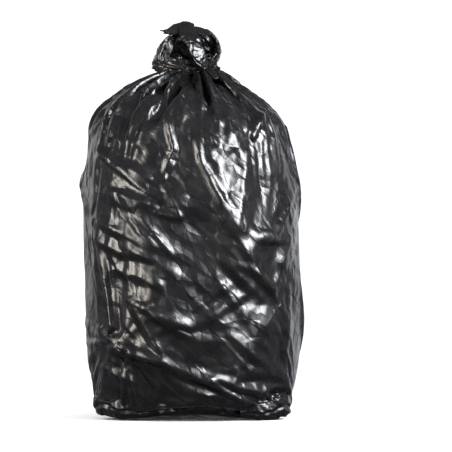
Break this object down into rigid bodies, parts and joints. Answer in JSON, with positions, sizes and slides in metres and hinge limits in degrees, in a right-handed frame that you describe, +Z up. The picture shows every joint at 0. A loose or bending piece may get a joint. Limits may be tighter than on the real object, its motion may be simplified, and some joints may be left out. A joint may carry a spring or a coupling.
{
  "type": "full bin bag",
  "caption": "Full bin bag standing upright, its black film neck gathered into pleats and tied in its own knot, with two folded corners at the base.",
  "frame": {"origin": "on the floor, under the middle of the bag's bounding box", "axes": "+Z up, +X to the right seen from the front, front faces -Y"},
  "size_m": [0.4912, 0.4588, 0.886],
  "materials": {
    "film": "thin black polyethylene film, glossy, creased and crumpled"
  },
  "bodies": {
    "root": {"bag": "film"}
  },
  "joints": []
}
